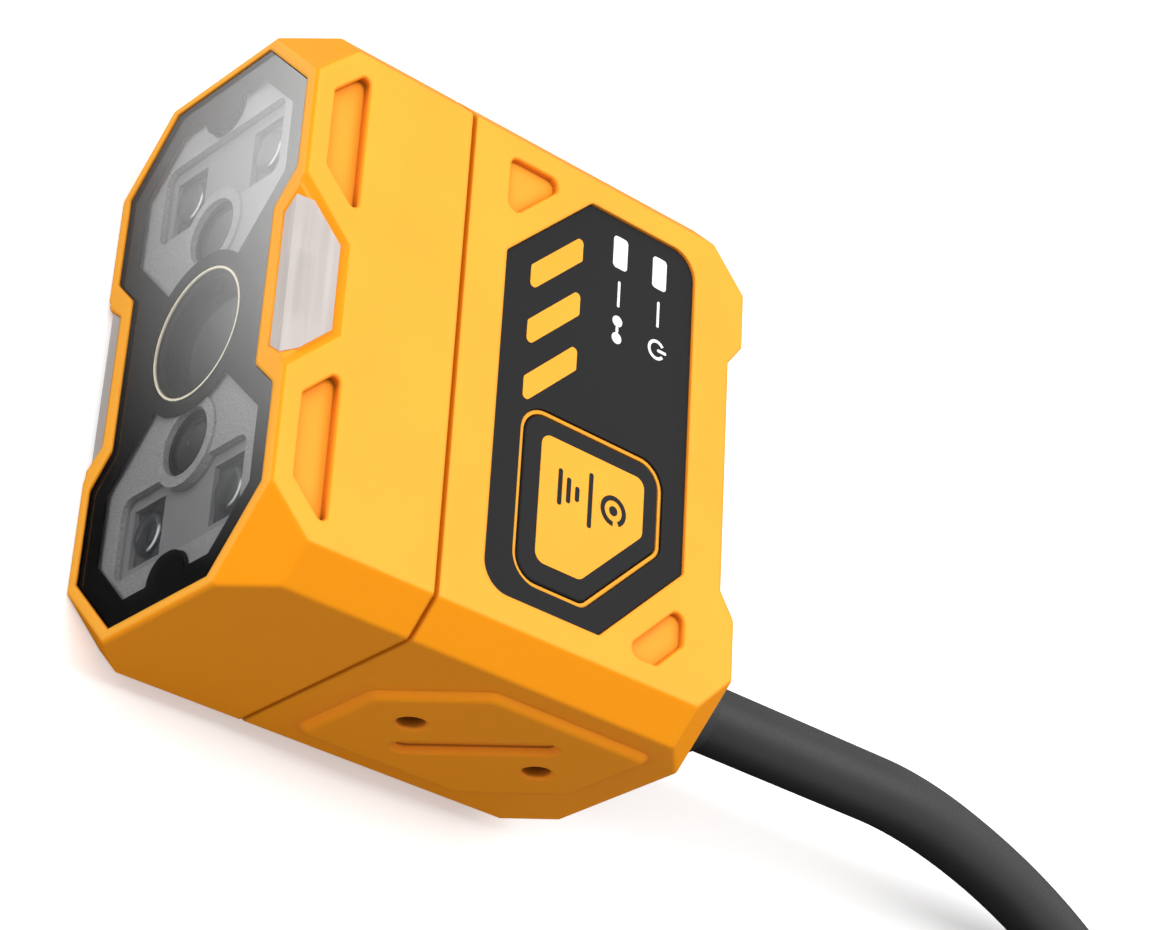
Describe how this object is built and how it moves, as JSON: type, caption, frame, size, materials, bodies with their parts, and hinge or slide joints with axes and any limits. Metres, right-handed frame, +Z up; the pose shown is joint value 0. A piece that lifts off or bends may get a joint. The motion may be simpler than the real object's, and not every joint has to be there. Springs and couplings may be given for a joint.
{
  "type": "fixed mount code reader",
  "caption": "Compact fixed code reader: faceted orange housing with a lit window and lens in front, a key panel on top, threaded mounting pads on the ends and a short cable with a round plug.",
  "frame": {"origin": "middle of the housing's lower face, the face that it lies on, without the cable", "axes": "+X across the width to the pad nearer the cable, +Y from the window to the cable side, +Z up out of the key panel"},
  "size_m": [0.1173, 0.1454, 0.0285],
  "materials": {
    "orange_coat": "satin orange powder coat",
    "seal_rubber": "matte black",
    "screw_steel": "plain",
    "window_glass": "polished",
    "mask_print": "black print",
    "frame_grey": "fine matte",
    "lamp_clear": "clear moulded",
    "emitter_pale": "plain",
    "barrel_black": "black anodised",
    "trim_gold": "bright",
    "optic_glass": "coated",
    "holder_black": "matte",
    "board_green": "solder mask",
    "chip_black": "plain",
    "wedge_frost": "frosted",
    "panel_black": "fine matte",
    "button_black": "fine matte",
    "lamp_white": "milky",
    "spacer_brass": "plain",
    "heat_grey": "soft",
    "flex_amber": "film",
    "socket_white": "plain",
    "cable_black": "matte jacket",
    "plug_black": "matte",
    "nut_nickel": "nickel plated"
  },
  "bodies": {
    "housing": {"aimer_barrel_1": "barrel_black", "aimer_barrel_2": "barrel_black", "aimer_lens_1": "optic_glass", "aimer_lens_2": "optic_glass", "board_spacers": "spacer_brass", "button_seal": "seal_rubber", "cable_gland": "cable_black", "case_screws": "screw_steel", "emitter_1": "emitter_pale", "emitter_2": "emitter_pale", "emitter_3": "emitter_pale", "emitter_4": "emitter_pale", "front_housing": "orange_coat", "front_lens_glass": "optic_glass", "front_window": "window_glass", "housing_seal": "seal_rubber", "image_sensor": "chip_black", "indicator_1": "emitter_pale", "indicator_2": "emitter_pale", "indicator_pipe_1": "lamp_white", "indicator_pipe_2": "lamp_white", "interface_board": "board_green", "key_board": "board_green", "key_board_screws": "screw_steel", "keypad_panel": "panel_black", "lamp_lens_1": "lamp_clear", "lamp_lens_2": "lamp_clear", "lamp_lens_3": "lamp_clear", "lamp_lens_4": "lamp_clear", "lead": "cable_black", "lead_socket": "socket_white", "lens_barrel": "barrel_black", "lens_holder": "holder_black", "lens_trim_ring": "trim_gold", "light_board": "board_green", "light_board_screws": "screw_steel", "light_frame": "frame_grey", "light_wedge_bottom": "wedge_frost", "light_wedge_top": "wedge_frost", "memory_chips": "chip_black", "plug_body": "plug_black", "plug_insert": "plug_black", "plug_nut": "nut_nickel", "processor_board": "board_green", "processor_chip": "chip_black", "rear_housing": "orange_coat", "rear_lens_glass": "optic_glass", "sensor_board": "board_green", "sensor_flex": "flex_amber", "sensor_screws": "screw_steel", "sensor_spacers": "spacer_brass", "stack_screws": "screw_steel", "switch_body": "chip_black", "thermal_pad": "heat_grey", "window_mask": "mask_print"},
    "button": {"button_cap": "button_black", "switch_plunger": "chip_black"}
  },
  "joints": [
    {"name": "button_press", "type": "slide", "parent": "housing", "child": "button", "axis": [0, 0, -1], "range_m": [0, 0.0004], "stiffness_N_per_m": 4000}
  ]
}
